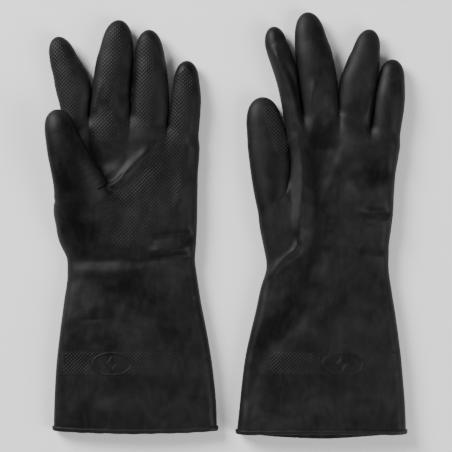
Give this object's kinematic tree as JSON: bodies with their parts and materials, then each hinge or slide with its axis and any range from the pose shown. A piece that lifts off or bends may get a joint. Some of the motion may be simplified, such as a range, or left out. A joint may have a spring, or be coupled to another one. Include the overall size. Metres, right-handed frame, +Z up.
{
  "type": "electrical insulating gloves",
  "caption": "Black rubber electrical insulating gauntlet gloves lying flat, left palm up, right back up; hollow, with rolled cuffs, flexing wrists and digits.",
  "frame": {"origin": "middle of the footprint of the lying pair, on the surface it lies on", "axes": "+Y from the cuffs to the fingertips, +X from the left glove to the right glove, +Z up from the surface"},
  "size_m": [0.271, 0.319, 0.036],
  "materials": {
    "shell_rubber": "matt dipped rubber with a moulded diamond grip",
    "cuff_bead_rubber": "matt dipped rubber, rolled"
  },
  "bodies": {
    "left_gauntlet": {"left_gauntlet": "shell_rubber", "left_cuff_bead": "cuff_bead_rubber"},
    "left_hand": {"left_hand": "shell_rubber"},
    "left_thumb_base": {"left_thumb_base": "shell_rubber"},
    "left_thumb_tip": {"left_thumb_tip": "shell_rubber"},
    "left_index_base": {"left_index_base": "shell_rubber"},
    "left_index_tip": {"left_index_tip": "shell_rubber"},
    "left_middle_base": {"left_middle_base": "shell_rubber"},
    "left_middle_tip": {"left_middle_tip": "shell_rubber"},
    "left_ring_base": {"left_ring_base": "shell_rubber"},
    "left_ring_tip": {"left_ring_tip": "shell_rubber"},
    "left_little_base": {"left_little_base": "shell_rubber"},
    "left_little_tip": {"left_little_tip": "shell_rubber"},
    "right_gauntlet": {"right_gauntlet": "shell_rubber", "right_cuff_bead": "cuff_bead_rubber"},
    "right_hand": {"right_hand": "shell_rubber"},
    "right_thumb_base": {"right_thumb_base": "shell_rubber"},
    "right_thumb_tip": {"right_thumb_tip": "shell_rubber"},
    "right_index_base": {"right_index_base": "shell_rubber"},
    "right_index_tip": {"right_index_tip": "shell_rubber"},
    "right_middle_base": {"right_middle_base": "shell_rubber"},
    "right_middle_tip": {"right_middle_tip": "shell_rubber"},
    "right_ring_base": {"right_ring_base": "shell_rubber"},
    "right_ring_tip": {"right_ring_tip": "shell_rubber"},
    "right_little_base": {"right_little_base": "shell_rubber"},
    "right_little_tip": {"right_little_tip": "shell_rubber"}
  },
  "joints": [
    {"name": "left_wrist", "type": "hinge", "parent": "left_gauntlet", "child": "left_hand", "pos_m": [-0.0715, -0.0293, 0.017], "axis": [1, 0, 0], "range_deg": [0, 50], "stiffness_Nm_per_rad": 0.06},
    {"name": "left_thumb_root", "type": "hinge", "parent": "left_hand", "child": "left_thumb_base", "pos_m": [-0.111, 0.0267, 0.036], "axis": [0.9722, 0.2341, 0], "range_deg": [0, 40], "stiffness_Nm_per_rad": 0.03},
    {"name": "left_thumb_knuckle", "type": "hinge", "parent": "left_thumb_base", "child": "left_thumb_tip", "pos_m": [-0.1175, 0.0537, 0.035], "axis": [0.9508, 0.3098, 0], "range_deg": [0, 32.5], "stiffness_Nm_per_rad": 0.015},
    {"name": "left_index_root", "type": "hinge", "parent": "left_hand", "child": "left_index_base", "pos_m": [-0.114, 0.0907, 0.0165], "axis": [0.9896, 0.1439, 0], "range_deg": [0, 65], "stiffness_Nm_per_rad": 0.03},
    {"name": "left_index_knuckle", "type": "hinge", "parent": "left_index_base", "child": "left_index_tip", "pos_m": [-0.1172, 0.1127, 0.0165], "axis": [0.9497, 0.3132, 0], "range_deg": [0, 59], "stiffness_Nm_per_rad": 0.015},
    {"name": "left_middle_root", "type": "hinge", "parent": "left_hand", "child": "left_middle_base", "pos_m": [-0.0873, 0.0887, 0.0165], "axis": [0.9966, -0.0819, 0], "range_deg": [0, 65], "stiffness_Nm_per_rad": 0.03},
    {"name": "left_middle_knuckle", "type": "hinge", "parent": "left_middle_base", "child": "left_middle_tip", "pos_m": [-0.085, 0.1167, 0.0165], "axis": [0.9926, -0.1213, 0], "range_deg": [0, 59], "stiffness_Nm_per_rad": 0.015},
    {"name": "left_ring_root", "type": "hinge", "parent": "left_hand", "child": "left_ring_base", "pos_m": [-0.0576, 0.0887, 0.0165], "axis": [0.9999, 0.016, 0], "range_deg": [0, 65], "stiffness_Nm_per_rad": 0.03},
    {"name": "left_ring_knuckle", "type": "hinge", "parent": "left_ring_base", "child": "left_ring_tip", "pos_m": [-0.058, 0.1137, 0.0165], "axis": [0.9999, 0.0125, 0], "range_deg": [0, 59], "stiffness_Nm_per_rad": 0.015},
    {"name": "left_little_root", "type": "hinge", "parent": "left_hand", "child": "left_little_base", "pos_m": [-0.0308, 0.0827, 0.0165], "axis": [0.9999, -0.0111, 0], "range_deg": [0, 65], "stiffness_Nm_per_rad": 0.03},
    {"name": "left_little_knuckle", "type": "hinge", "parent": "left_little_base", "child": "left_little_tip", "pos_m": [-0.0306, 0.1007, 0.0165], "axis": [0.9996, -0.0275, 0], "range_deg": [0, 59], "stiffness_Nm_per_rad": 0.015},
    {"name": "right_glove_lift", "type": "slide", "parent": "left_gauntlet", "child": "right_gauntlet", "axis": [0, 0, 1], "range_m": [0, 0.15]},
    {"name": "right_wrist", "type": "hinge", "parent": "right_gauntlet", "child": "right_hand", "pos_m": [0.0755, -0.0293, 0.017], "axis": [1, 0, 0], "range_deg": [0, 50], "stiffness_Nm_per_rad": 0.06},
    {"name": "right_thumb_root", "type": "hinge", "parent": "right_hand", "child": "right_thumb_base", "pos_m": [0.0315, 0.0267, 0.0165], "axis": [0.996, 0.0889, 0], "range_deg": [0, 30], "stiffness_Nm_per_rad": 0.03},
    {"name": "right_thumb_knuckle", "type": "hinge", "parent": "right_thumb_base", "child": "right_thumb_tip", "pos_m": [0.029, 0.0547, 0.0165], "axis": [0.9975, 0.07, 0], "range_deg": [0, 15.5], "stiffness_Nm_per_rad": 0.015},
    {"name": "right_index_root", "type": "hinge", "parent": "right_hand", "child": "right_index_base", "pos_m": [0.0492, 0.0887, 0.0165], "axis": [0.985, 0.1724, 0], "range_deg": [0, 40], "stiffness_Nm_per_rad": 0.03},
    {"name": "right_index_knuckle", "type": "hinge", "parent": "right_index_base", "child": "right_index_tip", "pos_m": [0.045, 0.1127, 0.0165], "axis": [0.9646, 0.2636, 0], "range_deg": [0, 20.5], "stiffness_Nm_per_rad": 0.015},
    {"name": "right_middle_root", "type": "hinge", "parent": "right_hand", "child": "right_middle_base", "pos_m": [0.0713, 0.0887, 0.0165], "axis": [0.9936, 0.1126, 0], "range_deg": [0, 40], "stiffness_Nm_per_rad": 0.03},
    {"name": "right_middle_knuckle", "type": "hinge", "parent": "right_middle_base", "child": "right_middle_tip", "pos_m": [0.0679, 0.1187, 0.0165], "axis": [0.9817, 0.1905, 0], "range_deg": [0, 20.5], "stiffness_Nm_per_rad": 0.015},
    {"name": "right_ring_root", "type": "hinge", "parent": "right_hand", "child": "right_ring_base", "pos_m": [0.0972, 0.0877, 0.0165], "axis": [0.9906, -0.1372, 0], "range_deg": [0, 40], "stiffness_Nm_per_rad": 0.03},
    {"name": "right_ring_knuckle", "type": "hinge", "parent": "right_ring_base", "child": "right_ring_tip", "pos_m": [0.1008, 0.1137, 0.0165], "axis": [0.977, -0.2132, 0], "range_deg": [0, 20.5], "stiffness_Nm_per_rad": 0.015},
    {"name": "right_little_root", "type": "hinge", "parent": "right_hand", "child": "right_little_base", "pos_m": [0.1212, 0.0837, 0.0165], "axis": [0.995, -0.0995, 0], "range_deg": [0, 40], "stiffness_Nm_per_rad": 0.03},
    {"name": "right_little_knuckle", "type": "hinge", "parent": "right_little_base", "child": "right_little_tip", "pos_m": [0.123, 0.1017, 0.0165], "axis": [0.9974, -0.0716, 0], "range_deg": [0, 20.5], "stiffness_Nm_per_rad": 0.015}
  ],
  "couplings": [
    {"joint": "left_thumb_knuckle", "follows": "left_thumb_root", "ratio": 0.8},
    {"joint": "left_index_knuckle", "follows": "left_index_root", "ratio": 0.9},
    {"joint": "left_middle_knuckle", "follows": "left_middle_root", "ratio": 0.9},
    {"joint": "left_ring_knuckle", "follows": "left_ring_root", "ratio": 0.9},
    {"joint": "left_little_knuckle", "follows": "left_little_root", "ratio": 0.9},
    {"joint": "right_thumb_knuckle", "follows": "right_thumb_root", "ratio": 0.5},
    {"joint": "right_index_knuckle", "follows": "right_index_root", "ratio": 0.5},
    {"joint": "right_middle_knuckle", "follows": "right_middle_root", "ratio": 0.5},
    {"joint": "right_ring_knuckle", "follows": "right_ring_root", "ratio": 0.5},
    {"joint": "right_little_knuckle", "follows": "right_little_root", "ratio": 0.5}
  ]
}
